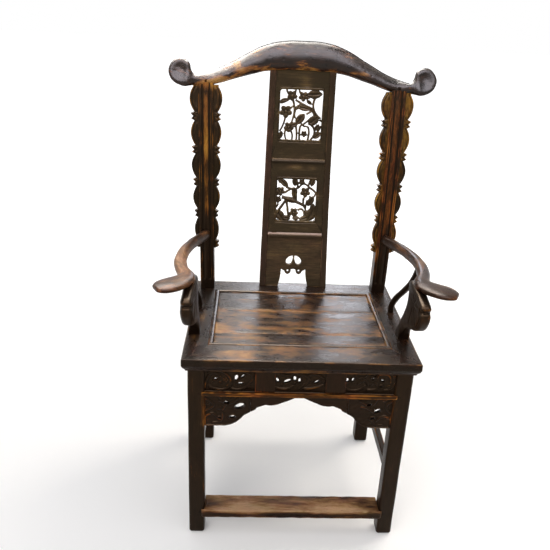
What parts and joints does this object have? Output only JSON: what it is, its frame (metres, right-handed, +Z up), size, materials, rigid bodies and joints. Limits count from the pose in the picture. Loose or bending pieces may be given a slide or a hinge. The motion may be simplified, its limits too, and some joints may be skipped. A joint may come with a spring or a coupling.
{
  "type": "armchair",
  "caption": "Yoke-back wooden armchair with a curved pierced splat, serpentine arms, goose-neck arm posts, a framed panel seat, a carved waist and apron, and a footrest.",
  "frame": {"origin": "middle of the whole chair's box, on the floor", "axes": "+X to the right as seen from the front, +Y to the back, +Z up"},
  "size_m": [0.6952, 0.5244, 1.182],
  "materials": {
    "dark_wood": "aged dark lacquer, satin",
    "worn_wood": "worn and polished by use, satin",
    "crest_wood": "handled, waxed, satin",
    "splat_wood": "aged dark lacquer, thin in places",
    "peg_wood": "end grain, satin"
  },
  "bodies": {
    "root": {"crest_rail": "crest_wood", "front_apron_centre": "dark_wood", "front_centre_waist_panel": "dark_wood", "front_footrest": "worn_wood", "front_left_bracket": "dark_wood", "front_left_leg": "dark_wood", "front_left_waist_panel": "dark_wood", "front_left_waist_strut": "dark_wood", "front_right_bracket": "dark_wood", "front_right_leg": "dark_wood", "front_right_waist_panel": "dark_wood", "front_right_waist_strut": "dark_wood", "front_waist_rail": "dark_wood", "left_apron": "dark_wood", "left_arm": "worn_wood", "left_arm_post": "dark_wood", "left_arm_stick": "dark_wood", "left_inner_wing": "dark_wood", "left_outer_wing": "dark_wood", "left_stretcher": "dark_wood", "left_waist_board": "dark_wood", "left_waist_rail": "dark_wood", "pegs": "peg_wood", "rear_apron": "dark_wood", "rear_left_post": "dark_wood", "rear_right_post": "dark_wood", "rear_stretcher": "dark_wood", "rear_waist_board": "dark_wood", "rear_waist_rail": "dark_wood", "right_apron": "dark_wood", "right_arm": "worn_wood", "right_arm_post": "dark_wood", "right_arm_stick": "dark_wood", "right_inner_wing": "dark_wood", "right_outer_wing": "dark_wood", "right_stretcher": "dark_wood", "right_waist_board": "dark_wood", "right_waist_rail": "dark_wood", "seat_back_bead": "worn_wood", "seat_back_board": "worn_wood", "seat_back_rail": "worn_wood", "seat_front_bead": "worn_wood", "seat_front_board": "worn_wood", "seat_front_rail": "worn_wood", "seat_left_batten": "worn_wood", "seat_left_bead": "worn_wood", "seat_left_rail": "worn_wood", "seat_middle_board": "worn_wood", "seat_right_batten": "worn_wood", "seat_right_bead": "worn_wood", "seat_right_rail": "worn_wood", "splat_bottom_panel": "splat_wood", "splat_left_stile": "splat_wood", "splat_lower_rail": "splat_wood", "splat_middle_panel": "splat_wood", "splat_right_stile": "splat_wood", "splat_top_panel": "splat_wood", "splat_upper_rail": "splat_wood"}
  },
  "joints": []
}
